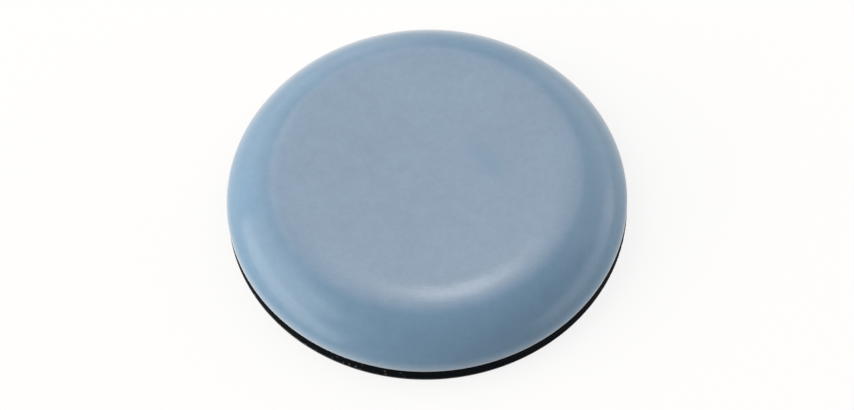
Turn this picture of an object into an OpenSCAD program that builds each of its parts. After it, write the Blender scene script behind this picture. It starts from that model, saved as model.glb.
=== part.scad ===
// Round self-adhesive furniture glide, lying on its adhesive face.
//
// A dished sliding cap, formed from one sheet with the same wall all over, is bonded onto a
// cellular rubber cushion. The cushion fills the cap, carries the cap's lip on a ledge and stands
// out below it as a foot. A thin adhesive film under the foot holds the glide to a chair leg.
//
// Millimetres, +Z up. The origin is the centre of the adhesive face, with the sliding face on top.

/* [Overall] */
// Diameter of the cap across its rim
cap_d = 30; // [20:0.5:60]
// Height from the adhesive face to the sliding face
glide_h = 4.5; // [3.8:0.1:6.5]

/* [Sliding cap] */
// Wall thickness of the formed cap
skin_t = 0.8; // [0.5:0.05:1.1]
// Radius of the shallow crown that eases the flat face into the shoulder
crown_r = 25; // [12:1:40]
// Tilt of the surface where the crown ends and the shoulder begins, in degrees
crown_tilt = 4.5; // [2:0.5:8]
// Tilt of the surface where the shoulder ends and the rim bend begins, in degrees
shoulder_tilt = 67; // [55:1:78]
// Inside radius of the tight bend between the shoulder and the lip
rim_bend_r = 0.15; // [0.1:0.05:0.6]
// Straight depth of the lip, between the rim bend and the rounding on its edge
lip_h = 0.05; // [0.05:0.05:0.5]
// Rounding on the outer edge of the trimmed lip
lip_edge_r = 0.08; // [0.05:0.01:0.3]

/* [Cushion core] */
// Height of the foot that shows below the lip
foot_h = 1.05; // [0.5:0.05:1.5]
// How far the foot's side stands back from the cap's rim
foot_setback = 0.04; // [0.02:0.02:0.5]
// Rounding on the foot's lower edge, where the die pressed it
foot_edge_r = 0.06; // [0.03:0.01:0.3]

/* [Adhesive film] */
// Thickness of the adhesive film
film_t = 0.15; // [0.05:0.05:0.3]
// How far the film's edge stands back from the foot's side, next to nothing as one die cuts both
film_setback = 0.02; // [0:0.02:1]

/* [Fits] */
// Glue line between the cap's inside and the cushion
bond_gap = 0.05; // [0.02:0.01:0.08]

/* [Hidden] */

skin_colour = "#8095A8";
core_colour = "#17191C";
film_colour = "#3A3A38";

// Steps round a full turn, and along each arc of the section
$fn = 96;
crown_steps = 3;
shoulder_steps = 12;
rim_steps = 4;
edge_steps = 3;

cap_r = cap_d / 2;
fill_depth = skin_t + bond_gap;
fill_r = cap_r - fill_depth;
foot_r = cap_r - foot_setback;
film_r = foot_r - film_setback;

// Levels, from the adhesive face up
ledge_z = film_t + foot_h;
rim_z = ledge_z + lip_edge_r + lip_h;

// The cap's outer section runs outwards and down as three arcs that meet tangentially: crown,
// shoulder and rim bend. The shoulder's radius is what fills the height left by the other two.
rim_r = skin_t + rim_bend_r;
crown_drop = crown_r * (1 - cos(crown_tilt));
rim_drop = rim_r * cos(shoulder_tilt);
shoulder_drop = glide_h - rim_z - crown_drop - rim_drop;
shoulder_r = shoulder_drop / (cos(crown_tilt) - cos(shoulder_tilt));

crown_w = crown_r * sin(crown_tilt);
shoulder_w = shoulder_r * (sin(shoulder_tilt) - sin(crown_tilt));
rim_w = rim_r * (1 - sin(shoulder_tilt));
flat_r = cap_r - crown_w - shoulder_w - rim_w;

// Outward normal of a section where its surface is tilted by this much: 0 faces up, 90 outwards
function normal(tilt) = [sin(tilt), cos(tilt)];

// Centres of the three arcs, each on the normal that it shares with the arc before
crown_centre = [flat_r, glide_h - crown_r];
shoulder_centre = crown_centre + (crown_r - shoulder_r) * normal(crown_tilt);
rim_centre = shoulder_centre + (shoulder_r - rim_r) * normal(shoulder_tilt);

// Points along an arc, from just after its start to its end
function arc_points(centre, r, tilt_a, tilt_b, steps) =
    [for (i = [1:steps]) centre + r * normal(tilt_a + (tilt_b - tilt_a) * i / steps)];

// The dished surface this deep below the cap's outside, from the edge of its flat to the top of
// the lip. Every depth shares the same arc centres, so the wall between two of them is even.
function dish_points(depth) = concat(
    [[flat_r, glide_h - depth]],
    arc_points(crown_centre, crown_r - depth, 0, crown_tilt, crown_steps),
    arc_points(shoulder_centre, shoulder_r - depth, crown_tilt, shoulder_tilt, shoulder_steps),
    arc_points(rim_centre, rim_r - depth, shoulder_tilt, 90, rim_steps)
);

// Rounded corner that points outwards and down, from its side to its underside
function lower_corner(corner_r, corner_z, round_r) = concat(
    [[corner_r, corner_z + round_r]],
    arc_points([corner_r - round_r, corner_z + round_r], round_r, 90, 180, edge_steps)
);

function reversed(points) = [for (i = [len(points) - 1:-1:0]) points[i]];

// Formed cap: down its outside, round the lip's edge and back up its inside
module sliding_cap() {
    color(skin_colour)
        rotate_extrude()
            polygon(concat(
                [[0, glide_h]],
                dish_points(0),
                lower_corner(cap_r, ledge_z, lip_edge_r),
                [[cap_r - skin_t, ledge_z]],
                reversed(dish_points(skin_t)),
                [[0, glide_h - skin_t]]
            ));
}

// Cushion: fills the cap to the glue line, and widens at the ledge into the foot
module cushion_core() {
    color(core_colour)
        rotate_extrude()
            polygon(concat(
                [[0, glide_h - fill_depth]],
                dish_points(fill_depth),
                [[fill_r, ledge_z], [foot_r, ledge_z]],
                lower_corner(foot_r, film_t, foot_edge_r),
                [[0, film_t]]
            ));
}

// Adhesive film: a flat disc under the foot
module adhesive_film() {
    color(film_colour)
        cylinder(h = film_t, r = film_r);
}

sliding_cap();
cushion_core();
adhesive_film();
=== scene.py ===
"""Furniture glide: the finish of its pieces, its stage and its camera, around the fixed frame."""

import math

import bpy
from mathutils import Matrix, Vector


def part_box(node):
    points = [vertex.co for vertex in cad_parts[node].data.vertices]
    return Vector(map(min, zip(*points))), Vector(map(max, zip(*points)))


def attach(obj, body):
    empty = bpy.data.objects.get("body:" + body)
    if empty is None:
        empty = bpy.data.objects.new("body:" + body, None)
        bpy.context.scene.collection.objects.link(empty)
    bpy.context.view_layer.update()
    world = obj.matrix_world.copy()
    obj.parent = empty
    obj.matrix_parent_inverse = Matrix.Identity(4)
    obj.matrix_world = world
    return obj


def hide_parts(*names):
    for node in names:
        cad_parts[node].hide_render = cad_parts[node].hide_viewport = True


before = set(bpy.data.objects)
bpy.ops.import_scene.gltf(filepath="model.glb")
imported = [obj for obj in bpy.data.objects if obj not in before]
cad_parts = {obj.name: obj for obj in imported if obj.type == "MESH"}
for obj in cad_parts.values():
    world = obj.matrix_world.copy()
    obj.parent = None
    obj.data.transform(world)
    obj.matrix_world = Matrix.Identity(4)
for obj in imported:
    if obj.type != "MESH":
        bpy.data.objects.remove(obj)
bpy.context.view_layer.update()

bl_info = {
    "name": "Furniture glide",
    "version": (1, 0, 0),
    "blender": (4, 5, 0),
    "location": "3D View > Sidebar > Glide",
    "description": "Builds a round self-adhesive furniture glide and the stage it is shown on",
    "category": "Add Mesh",
}

MM = 0.001

# Sizes that the frame gives
CAP_LOW, CAP_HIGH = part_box("sliding_cap")
CORE_LOW, CORE_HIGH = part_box("cushion_core")
FILM_LOW, FILM_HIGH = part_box("adhesive_film")
CAP_RADIUS = CAP_HIGH.x
FOOT_RADIUS = CORE_HIGH.x
FILM_RADIUS = FILM_HIGH.x
TOP = CAP_HIGH.z
LEDGE = CAP_LOW.z
FOOT_BOTTOM = CORE_LOW.z
FILL_DEPTH = CAP_HIGH.z - CORE_HIGH.z

# Faces round each piece
CAP_TURN_STEPS = 384
CORE_TURN_STEPS = 1536
FILM_TURN_STEPS = 256

# The flat's burnish and its painted highlight, a lighter and greyer colour, fade out this far below the
# top; the rim's colour is painted paler, a painted highlight, between these two levels
FLAT_LIGHT_AND_BURNISH_DEPTH = 0.24 * MM
RIM_HIGHLIGHT_LOW = LEDGE + 0.1 * MM
RIM_HIGHLIGHT_HIGH = LEDGE + 0.95 * MM

# The rub mark: its middle, its half length and half width, and its turn
MARK_MIDDLE = (4.5 * MM, 1.15 * MM, TOP)
MARK_SIZE = (3.4 * MM, 1.2 * MM, 1.0)
MARK_TURN = math.radians(-58)

# Bearing of the dusty stretch of the foot's side, in degrees
DUST_BEARING = 251

# The stage
FLOOR_HALF_WIDTH = 1.5
FLOOR_LEVEL = -0.01 * MM
FLOOR_GLOW = 0.85
ROOM_GLOW = 0.13
LAMP_DISTANCE = 1.0
WHITE = (1.0, 1.0, 1.0)
WARM_WHITE = (1.0, 0.93, 0.87)


def linear(hex_colour):
    """An sRGB hex colour as linear red, green and blue."""
    values = [int(hex_colour[i:i + 2], 16) / 255 for i in (1, 3, 5)]
    return [v / 12.92 if v <= 0.04045 else ((v + 0.055) / 1.055) ** 2.4 for v in values]


def opaque(colour):
    """A colour with full alpha, as a node's colour socket takes it."""
    return (*colour, 1.0)


# ---------------------------------------------------------------- settings

def length(name, description, default):
    """A length property, in metres."""
    return bpy.props.FloatProperty(
        name=name, description=description, default=default, min=0.0,
        subtype="DISTANCE", unit="LENGTH", precision=5,
    )


def angle(name, description, default):
    """An angle property, with its default in degrees."""
    return bpy.props.FloatProperty(
        name=name, description=description, default=math.radians(default),
        subtype="ANGLE", unit="ROTATION",
    )


def colour(name, description, default):
    """A colour property, with its default as a hex colour."""
    return bpy.props.FloatVectorProperty(
        name=name, description=description, default=linear(default),
        subtype="COLOR", size=3, min=0.0, max=1.0,
    )


class GlideCapSettings(bpy.types.PropertyGroup):
    """Sizes and colours of the sliding cap"""

    crown_radius: length("Crown radius", "Arc that eases the flat into the shoulder", 25 * MM)
    crown_tilt: angle("Crown tilt", "Tilt where the crown meets the shoulder", 4.5)
    shoulder_tilt: angle("Shoulder tilt", "Tilt where the shoulder meets the rim bend", 67)
    rim_bend_radius: length("Rim bend radius", "Inside radius of the rim bend", 0.15 * MM)
    lip_height: length("Lip height", "Straight depth of the lip", 0.05 * MM)
    lip_edge_radius: length("Lip edge radius", "Rounding on the trimmed lip", 0.08 * MM)
    bond_gap: length("Glue line", "Glue between the cap and the cushion", 0.05 * MM)
    lip_lift: length("Lip lift", "How far the lip stands off the foot at its loosest", 0.03 * MM)
    lift_bearing: angle("Lift bearing", "Bearing at which the lip is loosest", -55)
    lip_wave: length("Lip wave", "Height of the trimming waves along the lip", 0.04 * MM)
    # Painted highlight: the flat's colour is lighter and greyer than the shoulder's, for the light the flat
    # reflects
    flat_ptfe_painted_lighter: colour("PTFE", "Body colour of the PTFE sheet", "#7F96AE")
    shoulder_ptfe: colour("Shoulder PTFE", "Body colour where the die did not burnish it", "#6989A4")
    # Painted highlight: the colour the rim pales to, standing in for the light the rim bend reflects, with
    # a little stretch whitening
    rim_painted_highlight_ptfe: colour("Drawn PTFE", "Colour that the sheet pales to where it is drawn", "#C6D0D8")
    rub_mark: colour("Rub mark", "Colour of the faint mark across the flat", "#7591AB")


class GlideCoreSettings(bpy.types.PropertyGroup):
    """Sizes and colours of the rubber cushion"""

    foot_edge_radius: length("Foot edge radius", "Rounding on the foot's lower edge", 0.06 * MM)
    foot_shift: length("Foot shift", "How far the foot was laid off centre", 0.03 * MM)
    cell_size: length("Cell size", "Width of a cut cell on the foot's side", 0.22 * MM)
    cell_depth: length("Cell depth", "Depth of a cut cell on the foot's side", 0.05 * MM)
    rubber: colour("Rubber", "Colour of the cellular rubber", "#03070B")


class GlideFilmSettings(bpy.types.PropertyGroup):
    """Sizes and colours of the adhesive film"""

    edge_ripple: length("Edge ripple", "How unevenly the film's edge was cut", 0.03 * MM)
    adhesive: colour("Adhesive", "Colour of the adhesive film", "#131413")


class GlideStageSettings(bpy.types.PropertyGroup):
    """The stage: floor, lamps and camera"""

    floor: colour("Floor", "Colour of the floor", "#F2F2F2")
    camera_elevation: angle("Camera elevation", "Height of the camera over the floor", 57.9)
    camera_roll: angle("Camera roll", "Turn of the camera about its line of sight", -1.6)
    camera_distance: length("Camera distance", "From the camera to the glide", 450 * MM)
    frame_width: length("Frame width", "Width of the picture at the glide", 63.85 * MM)
    aim_drop: length("Aim drop", "How far below the glide's middle the camera aims", 0.944 * MM)


# ---------------------------------------------------------------- helpers

def add_node(tree, kind, inputs=None, **settings):
    """Adds a node, with its settings, its input values and the links into it."""
    node = tree.nodes.new(kind)
    node.location = (200 * len(tree.nodes), 0)
    for name, value in settings.items():
        setattr(node, name, value)
    for key, value in (inputs or {}).items():
        if isinstance(value, bpy.types.NodeSocket):
            tree.links.new(value, node.inputs[key])
        else:
            node.inputs[key].default_value = value
    return node


def new_tree(name, sockets):
    """A geometry tree with these named inputs, and its input and output nodes."""
    tree = bpy.data.node_groups.new(name, "GeometryNodeTree")
    tree.interface.new_socket("Geometry", in_out="INPUT", socket_type="NodeSocketGeometry")
    for socket_name, socket_type in sockets:
        tree.interface.new_socket(socket_name, in_out="INPUT", socket_type=socket_type)
    tree.interface.new_socket("Geometry", in_out="OUTPUT", socket_type="NodeSocketGeometry")
    return tree, add_node(tree, "NodeGroupInput").outputs


def applied(piece, tree, values):
    """Runs a geometry tree with these values on a piece, and keeps its result as a plain mesh."""
    modifier = piece.modifiers.new(tree.name, "NODES")
    modifier.node_group = tree
    for item in tree.interface.items_tree:
        if item.in_out == "INPUT" and item.name in values:
            modifier[item.identifier] = values[item.name]
    evaluated = piece.evaluated_get(bpy.context.evaluated_depsgraph_get())
    mesh = bpy.data.meshes.new_from_object(evaluated)
    if not mesh.polygons:
        raise RuntimeError(f"{piece.name}: the tree {tree.name} gave no faces")
    mesh.name = piece.name
    piece.modifiers.clear()
    piece.data = mesh
    return piece


def section_piece(name, points):
    """A piece whose mesh is only its half section: the points in order, radius along X."""
    mesh = bpy.data.meshes.new(name)
    mesh.from_pydata([(x, 0.0, z) for x, z in points], [(i, i + 1) for i in range(len(points) - 1)], [])
    piece = bpy.data.objects.new(name, mesh)
    bpy.context.scene.collection.objects.link(piece)
    return piece


def finished(piece, node):
    """Seats a piece in the frame in place of its CAD node."""
    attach(piece, "root")
    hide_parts(node)


# ---------------------------------------------------------------- sections

def normal(tilt):
    """Outward normal of a section whose surface tilts by this much: 0 up, a quarter turn outwards."""
    return Vector((math.sin(tilt), math.cos(tilt)))


def arc(centre, radius, start, end, steps):
    """Points along an arc between two tilts, without its first."""
    return [centre + radius * normal(start + (end - start) * i / steps) for i in range(1, steps + 1)]


def line(start, end, steps):
    """Points along a straight stretch, without its first."""
    return [Vector(start).lerp(Vector(end), i / steps) for i in range(1, steps + 1)]


class DishForm:
    """The cap's dished form: three arcs that meet tangentially, from the flat to the lip."""

    def __init__(self, cap):
        self.skin = FILL_DEPTH - cap.bond_gap
        self.rim_radius = self.skin + cap.rim_bend_radius
        self.rim_level = LEDGE + cap.lip_edge_radius + cap.lip_height
        self.tilts = (0.0, cap.crown_tilt, cap.shoulder_tilt, math.pi / 2)
        crown_drop = cap.crown_radius * (1 - math.cos(cap.crown_tilt))
        rim_drop = self.rim_radius * math.cos(cap.shoulder_tilt)
        shoulder_drop = TOP - self.rim_level - crown_drop - rim_drop
        shoulder_radius = shoulder_drop / (math.cos(cap.crown_tilt) - math.cos(cap.shoulder_tilt))
        self.radii = (cap.crown_radius, shoulder_radius, self.rim_radius)
        width = 0.0
        for radius, start, end in zip(self.radii, self.tilts, self.tilts[1:]):
            width += radius * (math.sin(end) - math.sin(start))
        self.flat_radius = CAP_RADIUS - width
        crown = Vector((self.flat_radius, TOP - cap.crown_radius))
        shoulder = crown + (cap.crown_radius - shoulder_radius) * normal(cap.crown_tilt)
        rim = shoulder + (shoulder_radius - self.rim_radius) * normal(cap.shoulder_tilt)
        self.centres = (crown, shoulder, rim)

    def surface(self, depth, flat_steps, arc_steps):
        """Points of the surface this deep below the outside, from the axis to the rim's widest."""
        points = [Vector((0.0, TOP - depth))]
        points += line(points[0], (self.flat_radius, TOP - depth), flat_steps)
        for centre, radius, start, end, steps in zip(
            self.centres, self.radii, self.tilts, self.tilts[1:], arc_steps
        ):
            points += arc(centre, radius - depth, start, end, steps)
        return points


def lower_corner(radius, level, rounding, steps):
    """Rounded corner that points outwards and down, from its side to its underside."""
    centre = Vector((radius - rounding, level + rounding))
    return arc(centre, rounding, math.pi / 2, math.pi, steps)


# ---------------------------------------------------------------- geometry trees

def turned(tree, section, steps):
    """Nodes that turn a section's points into a closed surface.

    A sphere lends its rings: each ring takes the radius and level of one point of the section, so
    both poles close by themselves.
    """
    count = add_node(tree, "GeometryNodeAttributeDomainSize", {"Geometry": section}, component="MESH")
    rings = add_node(
        tree, "ShaderNodeMath", {0: count.outputs["Point Count"], 1: 1.0}, operation="SUBTRACT"
    )
    sphere = add_node(
        tree, "GeometryNodeMeshUVSphere", {"Segments": steps, "Rings": rings.outputs[0], "Radius": 1.0}
    )
    index = add_node(tree, "GeometryNodeInputIndex")
    after_pole = add_node(
        tree, "ShaderNodeMath", {0: index.outputs[0], 1: 1.0}, operation="SUBTRACT"
    )
    turns = add_node(
        tree, "ShaderNodeMath", {0: after_pole.outputs[0], 1: steps}, operation="DIVIDE"
    )
    below = add_node(tree, "ShaderNodeMath", {0: turns.outputs[0]}, operation="FLOOR")
    ring = add_node(tree, "ShaderNodeMath", {0: below.outputs[0], 1: 1.0}, operation="ADD")
    place = add_node(tree, "GeometryNodeInputPosition")
    sampled = add_node(
        tree, "GeometryNodeSampleIndex",
        {"Geometry": section, "Value": place.outputs[0], "Index": ring.outputs[0]},
        data_type="FLOAT_VECTOR", domain="POINT", clamp=True,
    )
    point = add_node(tree, "ShaderNodeSeparateXYZ", {0: sampled.outputs[0]})
    flat = add_node(
        tree, "ShaderNodeVectorMath", {0: place.outputs[0], 1: (1.0, 1.0, 0.0)}, operation="MULTIPLY"
    )
    bearing = add_node(tree, "ShaderNodeVectorMath", {0: flat.outputs[0]}, operation="NORMALIZE")
    outwards = add_node(
        tree, "ShaderNodeVectorMath",
        {0: bearing.outputs[0], "Scale": point.outputs["X"]}, operation="SCALE",
    )
    level = add_node(tree, "ShaderNodeCombineXYZ", {"Z": point.outputs["Z"]})
    spot = add_node(
        tree, "ShaderNodeVectorMath", {0: outwards.outputs[0], 1: level.outputs[0]}, operation="ADD"
    )
    surface = add_node(
        tree, "GeometryNodeSetPosition",
        {"Geometry": sphere.outputs["Mesh"], "Position": spot.outputs[0]},
    )
    return surface.outputs[0]


def bearing_of(tree):
    """Nodes for the outward direction at each point, level and of length one."""
    place = add_node(tree, "GeometryNodeInputPosition")
    flat = add_node(
        tree, "ShaderNodeVectorMath", {0: place.outputs[0], 1: (1.0, 1.0, 0.0)}, operation="MULTIPLY"
    )
    return add_node(tree, "ShaderNodeVectorMath", {0: flat.outputs[0]}, operation="NORMALIZE").outputs[0]


def fading_above(tree, level, fade):
    """Nodes for a weight that is 1 at this level and below, and eases to 0 this far above it."""
    position = add_node(tree, "GeometryNodeInputPosition")
    place = add_node(tree, "ShaderNodeSeparateXYZ", {0: position.outputs[0]})
    top = add_node(tree, "ShaderNodeMath", {0: level, 1: fade}, operation="ADD")
    return add_node(
        tree, "ShaderNodeMapRange",
        {"Value": place.outputs["Z"], "From Min": level, "From Max": top.outputs[0],
         "To Min": 1.0, "To Max": 0.0},
        interpolation_type="SMOOTHSTEP",
    ).outputs[0]


def closed_off(tree, geometry, material):
    """Nodes that end a tree: smooth faces, no instances, one material."""
    smooth = add_node(tree, "GeometryNodeSetShadeSmooth", {"Geometry": geometry})
    real = add_node(tree, "GeometryNodeRealizeInstances", {"Geometry": smooth.outputs[0]})
    dressed = add_node(
        tree, "GeometryNodeSetMaterial", {"Geometry": real.outputs[0], "Material": material}
    )
    add_node(tree, "NodeGroupOutput", {"Geometry": dressed.outputs[0]})


def lip_tree():
    """Turns the cap's section, then lifts and waves its trimmed lip."""
    tree, given = new_tree("Turned cap", [
        ("Turn Steps", "NodeSocketInt"),
        ("Lip Level", "NodeSocketFloat"),
        ("Lip Reach", "NodeSocketFloat"),
        ("Lip Lift", "NodeSocketFloat"),
        ("Lift Direction", "NodeSocketVector"),
        ("Wave Height", "NodeSocketFloat"),
        ("Waves", "NodeSocketFloat"),
        ("Seed", "NodeSocketFloat"),
        ("Material", "NodeSocketMaterial"),
    ])
    surface = turned(tree, given["Geometry"], given["Turn Steps"])
    bearing = bearing_of(tree)
    facing = add_node(
        tree, "ShaderNodeVectorMath", {0: bearing, 1: given["Lift Direction"]}, operation="DOT_PRODUCT"
    )
    loose = add_node(
        tree, "ShaderNodeMapRange",
        {"Value": facing.outputs["Value"], "From Min": -0.2, "From Max": 1.0, "To Min": 0.0, "To Max": 1.0},
        interpolation_type="SMOOTHSTEP",
    )
    lift = add_node(
        tree, "ShaderNodeMath", {0: loose.outputs[0], 1: given["Lip Lift"]}, operation="MULTIPLY"
    )
    noise = add_node(
        tree, "ShaderNodeTexNoise",
        {"Vector": bearing, "W": given["Seed"], "Scale": given["Waves"], "Detail": 2.0},
        noise_dimensions="4D",
    )
    wave = add_node(
        tree, "ShaderNodeMath", {0: noise.outputs[0], 1: given["Wave Height"], 2: lift.outputs[0]},
        operation="MULTIPLY_ADD",
    )
    weight = fading_above(tree, given["Lip Level"], given["Lip Reach"])
    rise = add_node(tree, "ShaderNodeMath", {0: wave.outputs[0], 1: weight}, operation="MULTIPLY")
    offset = add_node(tree, "ShaderNodeCombineXYZ", {"Z": rise.outputs[0]})
    lifted = add_node(
        tree, "GeometryNodeSetPosition", {"Geometry": surface, "Offset": offset.outputs[0]}
    )
    closed_off(tree, lifted.outputs[0], given["Material"])
    return tree


def cushion_tree():
    """Turns the cushion's section, lays its foot off centre, and cuts open cells into its side."""
    tree, given = new_tree("Turned cushion", [
        ("Turn Steps", "NodeSocketInt"),
        ("Ledge Level", "NodeSocketFloat"),
        ("Shift Fade", "NodeSocketFloat"),
        ("Foot Shift", "NodeSocketVector"),
        ("Side Radius", "NodeSocketFloat"),
        ("Cell Size", "NodeSocketFloat"),
        ("Cell Depth", "NodeSocketFloat"),
        ("Seed", "NodeSocketFloat"),
        ("Material", "NodeSocketMaterial"),
    ])
    surface = turned(tree, given["Geometry"], given["Turn Steps"])
    bearing = bearing_of(tree)
    place = add_node(tree, "GeometryNodeInputPosition")
    scale = add_node(tree, "ShaderNodeMath", {0: 1.0, 1: given["Cell Size"]}, operation="DIVIDE")
    cells = add_node(
        tree, "ShaderNodeTexVoronoi",
        {"Vector": place.outputs[0], "W": given["Seed"], "Scale": scale.outputs[0]},
        voronoi_dimensions="4D",
    )
    pit = add_node(
        tree, "ShaderNodeMapRange",
        {"Value": cells.outputs["Distance"], "From Min": 0.25, "From Max": 0.6,
         "To Min": 1.0, "To Max": 0.0},
        interpolation_type="SMOOTHSTEP",
    )
    chance = add_node(tree, "ShaderNodeSeparateXYZ", {0: cells.outputs["Color"]})
    depth = add_node(
        tree, "ShaderNodeMath", {0: pit.outputs[0], 1: chance.outputs["X"]}, operation="MULTIPLY"
    )
    level = add_node(
        tree, "ShaderNodeVectorMath", {0: place.outputs[0], 1: (1.0, 1.0, 0.0)}, operation="MULTIPLY"
    )
    radius = add_node(tree, "ShaderNodeVectorMath", {0: level.outputs[0]}, operation="LENGTH")
    inner = add_node(
        tree, "ShaderNodeMath", {0: given["Side Radius"], 1: given["Cell Size"]}, operation="SUBTRACT"
    )
    on_side = add_node(
        tree, "ShaderNodeMapRange",
        {"Value": radius.outputs["Value"], "From Min": inner.outputs[0], "From Max": given["Side Radius"],
         "To Min": 0.0, "To Max": 1.0},
        interpolation_type="SMOOTHSTEP",
    )
    shown = add_node(
        tree, "ShaderNodeMath", {0: depth.outputs[0], 1: on_side.outputs[0]}, operation="MULTIPLY"
    )
    inwards = add_node(
        tree, "ShaderNodeMath", {0: shown.outputs[0], 1: given["Cell Depth"]}, operation="MULTIPLY"
    )
    away = add_node(tree, "ShaderNodeMath", {0: inwards.outputs[0], 1: -1.0}, operation="MULTIPLY")
    cut = add_node(
        tree, "ShaderNodeVectorMath", {0: bearing, "Scale": away.outputs[0]}, operation="SCALE"
    )
    weight = fading_above(tree, given["Ledge Level"], given["Shift Fade"])
    shift = add_node(
        tree, "ShaderNodeVectorMath", {0: given["Foot Shift"], "Scale": weight}, operation="SCALE"
    )
    offset = add_node(
        tree, "ShaderNodeVectorMath", {0: cut.outputs[0], 1: shift.outputs[0]}, operation="ADD"
    )
    laid = add_node(
        tree, "GeometryNodeSetPosition", {"Geometry": surface, "Offset": offset.outputs[0]}
    )
    closed_off(tree, laid.outputs[0], given["Material"])
    return tree


def film_tree():
    """Turns the film's section, and makes its cut edge uneven."""
    tree, given = new_tree("Turned film", [
        ("Turn Steps", "NodeSocketInt"),
        ("Ripple", "NodeSocketFloat"),
        ("Waves", "NodeSocketFloat"),
        ("Seed", "NodeSocketFloat"),
        ("Material", "NodeSocketMaterial"),
    ])
    surface = turned(tree, given["Geometry"], given["Turn Steps"])
    bearing = bearing_of(tree)
    noise = add_node(
        tree, "ShaderNodeTexNoise",
        {"Vector": bearing, "W": given["Seed"], "Scale": given["Waves"], "Detail": 3.0},
        noise_dimensions="4D",
    )
    reach = add_node(
        tree, "ShaderNodeMath", {0: noise.outputs[0], 1: given["Ripple"]}, operation="MULTIPLY"
    )
    away = add_node(tree, "ShaderNodeMath", {0: reach.outputs[0], 1: -1.0}, operation="MULTIPLY")
    offset = add_node(
        tree, "ShaderNodeVectorMath", {0: bearing, "Scale": away.outputs[0]}, operation="SCALE"
    )
    cut = add_node(tree, "GeometryNodeSetPosition", {"Geometry": surface, "Offset": offset.outputs[0]})
    closed_off(tree, cut.outputs[0], given["Material"])
    return tree


# ---------------------------------------------------------------- materials

def new_material(name):
    """A material with its principled shader and object coordinates."""
    material = bpy.data.materials.new(name)
    material.use_nodes = True
    tree = material.node_tree
    shader = tree.nodes["Principled BSDF"]
    place = add_node(tree, "ShaderNodeTexCoord").outputs["Object"]
    return material, tree, shader, place


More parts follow.
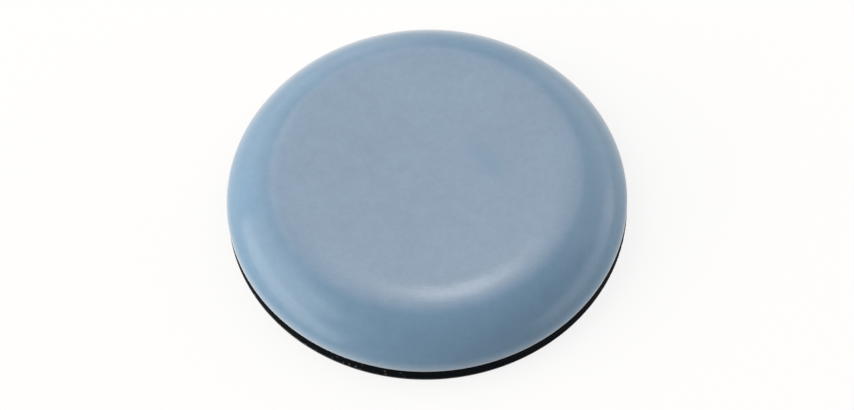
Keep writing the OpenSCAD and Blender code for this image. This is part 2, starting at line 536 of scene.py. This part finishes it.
def formed_ptfe_sheet(body, shoulder_body, rim_painted_highlight_body, marked_body):
    """PTFE sheet, skived and pressed over a polished die: waxy, faintly mottled, with a satin skin.

    The flat has a burnish that makes it glossier, and its colour is painted a shade lighter and greyer than
    the shoulder's: a painted highlight for the light the flat reflects. The rim's colour is painted paler,
    mostly a painted highlight, with a little stretch whitening.
    """
    material, tree, shader, place = new_material("formed_ptfe_sheet")
    cloud = add_node(tree, "ShaderNodeTexNoise", {"Vector": place, "Scale": 1 / (5 * MM), "Detail": 2.0})
    # The skiving grain is a few hundredths of a millimetre wide, made coarser here so that it shows
    mottle = add_node(
        tree, "ShaderNodeTexNoise",
        {"Vector": place, "Scale": 1 / (1.1 * MM), "Detail": 4.0, "Roughness": 0.95},
    )
    grain = add_node(
        tree, "ShaderNodeTexNoise",
        {"Vector": place, "Scale": 1 / (0.3 * MM), "Detail": 2.0, "Roughness": 0.8},
    )
    blend = add_node(
        tree, "ShaderNodeMath", {0: cloud.outputs[0], 1: 0.4, 2: mottle.outputs[0]},
        operation="MULTIPLY_ADD",
    )
    tone = add_node(
        tree, "ShaderNodeMapRange",
        {"Value": blend.outputs[0], "From Min": 0.45, "From Max": 0.95, "To Min": 0.0, "To Max": 1.0},
    )
    # The burnish covers the flat and fades out over the top of the shoulder; the same weight paints the
    # flat's colour lighter and greyer, a painted highlight
    height = add_node(tree, "ShaderNodeSeparateXYZ", {0: place}).outputs["Z"]
    painted_flat_light_and_burnish = add_node(
        tree, "ShaderNodeMapRange",
        {"Value": height, "From Min": TOP - FLAT_LIGHT_AND_BURNISH_DEPTH, "From Max": TOP, "To Min": 0.0, "To Max": 1.0},
        interpolation_type="SMOOTHSTEP",
    )
    # Painted highlight: the flat takes a lighter, greyer colour than the shoulder, for the light it
    # reflects
    bodied_with_painted_flat_light = add_node(
        tree, "ShaderNodeMix",
        {"Factor": painted_flat_light_and_burnish.outputs[0], 6: opaque(shoulder_body), 7: opaque(body)}, data_type="RGBA",
    )
    brightness = add_node(
        tree, "ShaderNodeMapRange", {"Value": tone.outputs[0], "To Min": 0.92, "To Max": 1.08}
    )
    toned = add_node(
        tree, "ShaderNodeMix",
        {"Factor": 1.0, 6: bodied_with_painted_flat_light.outputs[2], 7: brightness.outputs[0]},
        data_type="RGBA", blend_type="MULTIPLY",
    )
    tint = add_node(
        tree, "ShaderNodeMix",
        {"Factor": grain.outputs[0], 6: opaque((1.05, 1.0, 0.96)), 7: opaque((0.95, 1.0, 1.04))},
        data_type="RGBA",
    )
    grained = add_node(
        tree, "ShaderNodeMix",
        {"Factor": 1.0, 6: toned.outputs[2], 7: tint.outputs[2]},
        data_type="RGBA", blend_type="MULTIPLY",
    )
    # A faint mark from rubbing against something, long and soft, lies across the flat
    mark_place = add_node(
        tree, "ShaderNodeMapping",
        {"Vector": place, "Location": MARK_MIDDLE, "Rotation": (0.0, 0.0, MARK_TURN), "Scale": MARK_SIZE},
        vector_type="TEXTURE",
    )
    distance = add_node(tree, "ShaderNodeVectorMath", {0: mark_place.outputs[0]}, operation="LENGTH")
    frayed = add_node(
        tree, "ShaderNodeMath", {0: cloud.outputs[0], 1: 1.6, 2: distance.outputs["Value"]},
        operation="MULTIPLY_ADD",
    )
    rubbed = add_node(
        tree, "ShaderNodeMapRange",
        {"Value": frayed.outputs[0], "From Min": 0.7, "From Max": 1.7, "To Min": 0.8, "To Max": 0.0},
        interpolation_type="SMOOTHSTEP",
    )
    marked = add_node(
        tree, "ShaderNodeMix",
        {"Factor": rubbed.outputs[0], 6: grained.outputs[2], 7: opaque(marked_body)},
        data_type="RGBA",
    )
    # Painted highlight: the sheet's colour pales towards the rim, standing in for the light the rim bend
    # reflects, with a little whitening where drawing it over the die has stretched it
    drawn_with_painted_highlight = add_node(
        tree, "ShaderNodeMapRange",
        {"Value": height, "From Min": RIM_HIGHLIGHT_LOW, "From Max": RIM_HIGHLIGHT_HIGH, "To Min": 0.36, "To Max": 0.0},
        interpolation_type="SMOOTHSTEP",
    )
    painted_rim_highlight = add_node(
        tree, "ShaderNodeMix",
        {"Factor": drawn_with_painted_highlight.outputs[0], 6: marked.outputs[2], 7: opaque(rim_painted_highlight_body)},
        data_type="RGBA",
    )
    tree.links.new(painted_rim_highlight.outputs[2], shader.inputs["Base Color"])
    satin = add_node(
        tree, "ShaderNodeMapRange",
        {"Value": mottle.outputs[0], "From Min": 0.3, "From Max": 0.7, "To Min": 0.29, "To Max": 0.33},
    )
    tree.links.new(satin.outputs[0], shader.inputs["Roughness"])
    relief = add_node(
        tree, "ShaderNodeBump", {"Height": grain.outputs[0], "Strength": 0.5, "Distance": 0.01 * MM}
    )
    waves = add_node(
        tree, "ShaderNodeBump",
        {"Height": mottle.outputs[0], "Strength": 0.5, "Distance": 0.015 * MM, "Normal": relief.outputs[0]},
    )
    tree.links.new(waves.outputs[0], shader.inputs["Normal"])
    tree.links.new(waves.outputs[0], shader.inputs["Coat Normal"])
    coat = add_node(
        tree, "ShaderNodeMapRange", {"Value": painted_flat_light_and_burnish.outputs[0], "To Min": 0.25, "To Max": 0.5}
    )
    tree.links.new(coat.outputs[0], shader.inputs["Coat Weight"])
    shader.inputs["IOR"].default_value = 1.36
    shader.inputs["Specular IOR Level"].default_value = 0.35
    shader.inputs["Coat IOR"].default_value = 1.36
    shader.inputs["Coat Roughness"].default_value = 0.13
    shader.inputs["Sheen Weight"].default_value = 0.55
    shader.inputs["Sheen Roughness"].default_value = 0.35
    shader.inputs["Sheen Tint"].default_value = (1.0, 0.92, 0.82, 1.0)
    return material


def die_cut_cellular_rubber(body):
    """Closed-cell rubber, cut with a die: near black and matt, with the skin of each cell showing."""
    material, tree, shader, place = new_material("die_cut_cellular_rubber")
    cells = add_node(tree, "ShaderNodeTexVoronoi", {"Vector": place, "Scale": 1 / (0.12 * MM)})
    fine = add_node(
        tree, "ShaderNodeTexNoise", {"Vector": place, "Scale": 1 / (0.3 * MM), "Detail": 3.0}
    )
    colour_mix = add_node(
        tree, "ShaderNodeMix",
        {"Factor": fine.outputs[0], 6: opaque(c * 0.7 for c in body), 7: opaque(c * 1.4 for c in body)},
        data_type="RGBA",
    )
    # Pale dust sits in the cut cells along one stretch of the side
    specks = add_node(
        tree, "ShaderNodeTexVoronoi", {"Vector": place, "Scale": 1 / (0.42 * MM)}
    )
    speck = add_node(
        tree, "ShaderNodeMapRange",
        {"Value": specks.outputs["Distance"], "From Min": 0.1, "From Max": 0.27,
         "To Min": 0.8, "To Max": 0.0},
    )
    level_place = add_node(
        tree, "ShaderNodeVectorMath", {0: place, 1: (1.0, 1.0, 0.0)}, operation="MULTIPLY"
    )
    bearing = add_node(tree, "ShaderNodeVectorMath", {0: level_place.outputs[0]}, operation="NORMALIZE")
    facing = add_node(
        tree, "ShaderNodeVectorMath", {0: bearing.outputs[0], 1: towards(DUST_BEARING, 0)},
        operation="DOT_PRODUCT",
    )
    stretch = add_node(
        tree, "ShaderNodeMapRange",
        {"Value": facing.outputs["Value"], "From Min": 0.98, "From Max": 0.992,
         "To Min": 0.0, "To Max": 1.0},
    )
    dusty = add_node(
        tree, "ShaderNodeMath", {0: speck.outputs[0], 1: stretch.outputs[0]}, operation="MULTIPLY"
    )
    dusted = add_node(
        tree, "ShaderNodeMix",
        {"Factor": dusty.outputs[0], 6: colour_mix.outputs[2], 7: opaque((0.14, 0.14, 0.14))},
        data_type="RGBA",
    )
    tree.links.new(dusted.outputs[2], shader.inputs["Base Color"])
    relief = add_node(
        tree, "ShaderNodeBump",
        {"Height": cells.outputs["Distance"], "Strength": 0.6, "Distance": 0.03 * MM},
    )
    tree.links.new(relief.outputs[0], shader.inputs["Normal"])
    shader.inputs["Roughness"].default_value = 0.7
    shader.inputs["IOR"].default_value = 1.5
    shader.inputs["Specular IOR Level"].default_value = 0.02
    return material


def cast_acrylic_adhesive(body):
    """Pressure-sensitive acrylic, cast as a film: dark over the rubber, tacky and a little wavy."""
    material, tree, shader, place = new_material("cast_acrylic_adhesive")
    orange_peel = add_node(
        tree, "ShaderNodeTexNoise", {"Vector": place, "Scale": 1 / (0.8 * MM), "Detail": 3.0}
    )
    colour_mix = add_node(
        tree, "ShaderNodeMix",
        {"Factor": orange_peel.outputs[0],
         6: opaque(c * 0.85 for c in body), 7: opaque(c * 1.2 for c in body)},
        data_type="RGBA",
    )
    tree.links.new(colour_mix.outputs[2], shader.inputs["Base Color"])
    relief = add_node(
        tree, "ShaderNodeBump", {"Height": orange_peel.outputs[0], "Strength": 0.5, "Distance": 0.03 * MM}
    )
    tree.links.new(relief.outputs[0], shader.inputs["Normal"])
    shader.inputs["Roughness"].default_value = 0.3
    shader.inputs["IOR"].default_value = 1.47
    return material


def seen_directly(tree):
    """Nodes for 1 where the camera, a reflection or clear material looks on, and 0 for soft light."""
    path = add_node(tree, "ShaderNodeLightPath")
    seen = add_node(
        tree, "ShaderNodeMath", {0: path.outputs["Is Camera Ray"], 1: path.outputs["Is Glossy Ray"]},
        operation="ADD",
    )
    through = add_node(
        tree, "ShaderNodeMath", {0: seen.outputs[0], 1: path.outputs["Is Transmission Ray"]},
        operation="ADD", use_clamp=True,
    )
    return through.outputs[0]


def pale_floor(body):
    """Seamless studio paper: shows white to the camera and in reflections, and keeps a soft shadow."""
    material, tree, shader, _place = new_material("seamless_paper")
    shader.inputs["Base Color"].default_value = opaque(body)
    shader.inputs["Roughness"].default_value = 1.0
    shader.inputs["Specular IOR Level"].default_value = 0.0
    share = add_node(
        tree, "ShaderNodeMath", {0: seen_directly(tree), 1: FLOOR_GLOW}, operation="MULTIPLY"
    )
    white = add_node(tree, "ShaderNodeEmission", {"Color": opaque(WHITE), "Strength": 1.0})
    both = add_node(
        tree, "ShaderNodeMixShader", {0: share.outputs[0], 1: shader.outputs[0], 2: white.outputs[0]}
    )
    tree.links.new(both.outputs[0], tree.nodes["Material Output"].inputs["Surface"])
    return material


# ---------------------------------------------------------------- operators

class GLIDE_OT_sliding_cap(bpy.types.Operator):
    """Build the formed sliding cap"""

    bl_idname = "glide.sliding_cap"
    bl_label = "Sliding cap"
    bl_options = {"REGISTER", "UNDO"}

    def execute(self, context):
        cap = context.scene.glide_cap
        form = DishForm(cap)
        points = form.surface(0.0, 8, (8, 32, 10))
        lip_start = Vector((CAP_RADIUS, LEDGE + cap.lip_edge_radius))
        points += line(points[-1], lip_start, 3)
        points += lower_corner(CAP_RADIUS, LEDGE, cap.lip_edge_radius, 6)
        points += line(points[-1], (CAP_RADIUS - form.skin, LEDGE), 4)
        inside = form.surface(form.skin, 4, (3, 14, 4))
        points += line(points[-1], inside[-1], 3)
        points += inside[-2::-1]
        piece = section_piece("cap_skin", points)
        applied(piece, lip_tree(), {
            "Turn Steps": CAP_TURN_STEPS,
            "Lip Level": LEDGE,
            "Lip Reach": 1.2 * MM,
            "Lip Lift": cap.lip_lift,
            "Lift Direction": (math.cos(cap.lift_bearing), math.sin(cap.lift_bearing), 0.0),
            "Wave Height": cap.lip_wave,
            "Waves": 3.0,
            "Seed": 2.0,
            "Material": formed_ptfe_sheet(
                cap.flat_ptfe_painted_lighter, cap.shoulder_ptfe, cap.rim_painted_highlight_ptfe, cap.rub_mark
            ),
        })
        finished(piece, "sliding_cap")
        return {"FINISHED"}


class GLIDE_OT_cushion_core(bpy.types.Operator):
    """Build the cellular rubber cushion"""

    bl_idname = "glide.cushion_core"
    bl_label = "Cushion core"
    bl_options = {"REGISTER", "UNDO"}

    def execute(self, context):
        core = context.scene.glide_core
        cap = context.scene.glide_cap
        form = DishForm(cap)
        points = form.surface(FILL_DEPTH, 4, (3, 14, 3))
        points += line(points[-1], (CAP_RADIUS - FILL_DEPTH, LEDGE), 2)
        points += line(points[-1], (FOOT_RADIUS, LEDGE), 4)
        edge_top = Vector((FOOT_RADIUS, FOOT_BOTTOM + core.foot_edge_radius))
        points += line(points[-1], edge_top, 14)
        points += lower_corner(FOOT_RADIUS, FOOT_BOTTOM, core.foot_edge_radius, 4)
        points += line(points[-1], (0.0, FOOT_BOTTOM), 5)
        piece = section_piece("rubber_core", points)
        applied(piece, cushion_tree(), {
            "Turn Steps": CORE_TURN_STEPS,
            "Ledge Level": LEDGE,
            "Shift Fade": 0.5 * MM,
            "Foot Shift": (core.foot_shift, 0.0, 0.0),
            "Side Radius": FOOT_RADIUS,
            "Cell Size": core.cell_size,
            "Cell Depth": core.cell_depth,
            "Seed": 5.0,
            "Material": die_cut_cellular_rubber(core.rubber),
        })
        finished(piece, "cushion_core")
        return {"FINISHED"}


class GLIDE_OT_adhesive_film(bpy.types.Operator):
    """Build the adhesive film"""

    bl_idname = "glide.adhesive_film"
    bl_label = "Adhesive film"
    bl_options = {"REGISTER", "UNDO"}

    def execute(self, context):
        film = context.scene.glide_film
        points = [Vector((0.0, FILM_HIGH.z))]
        points += line(points[0], (FILM_RADIUS, FILM_HIGH.z), 6)
        points += line(points[-1], (FILM_RADIUS, FILM_LOW.z), 3)
        points += line(points[-1], (0.0, FILM_LOW.z), 6)
        piece = section_piece("adhesive_disc", points)
        applied(piece, film_tree(), {
            "Turn Steps": FILM_TURN_STEPS,
            "Ripple": film.edge_ripple,
            "Waves": 9.0,
            "Seed": 1.0,
            "Material": cast_acrylic_adhesive(film.adhesive),
        })
        finished(piece, "adhesive_film")
        return {"FINISHED"}


def add_lamp(name, direction, size, power, tint):
    """A rectangular soft lamp, seen from the glide in this direction and facing it."""
    light = bpy.data.lights.new(name, "AREA")
    light.shape = "RECTANGLE"
    light.size, light.size_y = size
    light.energy = power
    light.color = tint
    lamp = bpy.data.objects.new(name, light)
    place = Matrix.Translation(LAMP_DISTANCE * direction)
    lamp.matrix_world = place @ direction.to_track_quat("Z", "Y").to_matrix().to_4x4()
    bpy.context.scene.collection.objects.link(lamp)


def towards(azimuth, elevation):
    """Direction at this azimuth, counted from +X round to +Y, and elevation, in degrees."""
    a, e = math.radians(azimuth), math.radians(elevation)
    return Vector((math.cos(e) * math.cos(a), math.cos(e) * math.sin(a), math.sin(e)))


class GLIDE_OT_stage(bpy.types.Operator):
    """Lay the floor, set the lamps and aim the camera"""

    bl_idname = "glide.stage"
    bl_label = "Stage"
    bl_options = {"REGISTER", "UNDO"}

    def execute(self, context):
        scene = context.scene
        stage = scene.glide_stage
        self.lay_floor(scene, stage)
        self.light_world(scene)
        self.set_lamps()
        self.aim_camera(scene, stage)
        scene.view_settings.view_transform = "Standard"
        return {"FINISHED"}

    def lay_floor(self, scene, stage):
        """A wide floor just below the adhesive film."""
        half, low = FLOOR_HALF_WIDTH, FLOOR_LEVEL
        mesh = bpy.data.meshes.new("floor")
        corners = [(-half, -half, low), (half, -half, low), (half, half, low), (-half, half, low)]
        mesh.from_pydata(corners, [], [(0, 1, 2, 3)])
        mesh.materials.append(pale_floor(stage.floor))
        floor = bpy.data.objects.new("floor", mesh)
        scene.collection.objects.link(floor)

    def light_world(self, scene):
        """White to the camera and in reflections, and a low even light on the glide."""
        world = bpy.data.worlds.new("white_room")
        world.use_nodes = True
        tree = world.node_tree
        strength = add_node(
            tree, "ShaderNodeMapRange", {"Value": seen_directly(tree), "To Min": ROOM_GLOW, "To Max": 1.0}
        )
        background = tree.nodes["Background"]
        background.inputs["Color"].default_value = opaque(WHITE)
        tree.links.new(strength.outputs[0], background.inputs["Strength"])
        scene.world = world

    def set_lamps(self):
        """A small bright panel glints on the flat's front edge, and large soft ones light the rest."""
        for name, azimuth, elevation, size, power, tint in (
            ("back_panel", 87, 64, (0.07, 0.05), 0.4, WARM_WHITE),
            ("back_left_panel", 158, 58.5, (1.33, 0.25), 2.3, WARM_WHITE),
            ("left_box", 184, 35, (0.91, 0.67), 6.4, WARM_WHITE),
            ("left_strip", 194, 9, (1.33, 0.45), 9.0, WARM_WHITE),
            ("back_wall", 118, 27, (1.0, 0.8), 3.9, WARM_WHITE),
            ("right_wall", 42, 30, (1.09, 1.1), 5.5, WARM_WHITE),
            ("right_strip", 355, 10, (1.32, 0.4), 3.7, WHITE),
        ):
            add_lamp(name, towards(azimuth, elevation), size, power, tint)

    def aim_camera(self, scene, stage):
        """The camera looks down on the glide from the front."""
        elevation = stage.camera_elevation
        back = Vector((0.0, -math.cos(elevation), math.sin(elevation)))
        right = Vector((1.0, 0.0, 0.0))
        up = back.cross(right)
        turn = Matrix.Rotation(stage.camera_roll, 3, back)
        aim = Vector((0.0, 0.0, TOP / 2)) - stage.aim_drop * up
        data = bpy.data.cameras.new("camera")
        data.sensor_width = 36.0
        data.lens = data.sensor_width * stage.camera_distance / stage.frame_width
        data.clip_start = 0.01
        camera = bpy.data.objects.new("camera", data)
        axes = Matrix((turn @ right, turn @ up, back)).transposed()
        camera.matrix_world = Matrix.Translation(aim + stage.camera_distance * back) @ axes.to_4x4()
        scene.collection.objects.link(camera)
        scene.camera = camera


# ---------------------------------------------------------------- interface

class GLIDE_PT_panel(bpy.types.Panel):
    """Lists the glide's settings and operators"""

    bl_idname = "GLIDE_PT_panel"
    bl_label = "Furniture glide"
    bl_space_type = "VIEW_3D"
    bl_region_type = "UI"
    bl_category = "Glide"

    def draw(self, context):
        for group_name, (group, operator) in SECTIONS.items():
            box = self.layout.box()
            settings = getattr(context.scene, group_name)
            for name in group.__annotations__:
                box.prop(settings, name)
            box.operator(operator.bl_idname)


SECTIONS = {
    "glide_cap": (GlideCapSettings, GLIDE_OT_sliding_cap),
    "glide_core": (GlideCoreSettings, GLIDE_OT_cushion_core),
    "glide_film": (GlideFilmSettings, GLIDE_OT_adhesive_film),
    "glide_stage": (GlideStageSettings, GLIDE_OT_stage),
}


def register():
    """Registers the settings, the operators and the panel."""
    for group_name, (group, operator) in SECTIONS.items():
        bpy.utils.register_class(group)
        setattr(bpy.types.Scene, group_name, bpy.props.PointerProperty(type=group))
        bpy.utils.register_class(operator)
    bpy.utils.register_class(GLIDE_PT_panel)


def unregister():
    """Takes back what register did."""
    bpy.utils.unregister_class(GLIDE_PT_panel)
    for group_name, (group, operator) in reversed(SECTIONS.items()):
        bpy.utils.unregister_class(operator)
        delattr(bpy.types.Scene, group_name)
        bpy.utils.unregister_class(group)


def main():
    """Builds the glide and its stage."""
    register()
    bpy.ops.glide.stage()
    bpy.ops.glide.sliding_cap()
    bpy.ops.glide.cushion_core()
    bpy.ops.glide.adhesive_film()


if __name__ == "__main__":
    main()
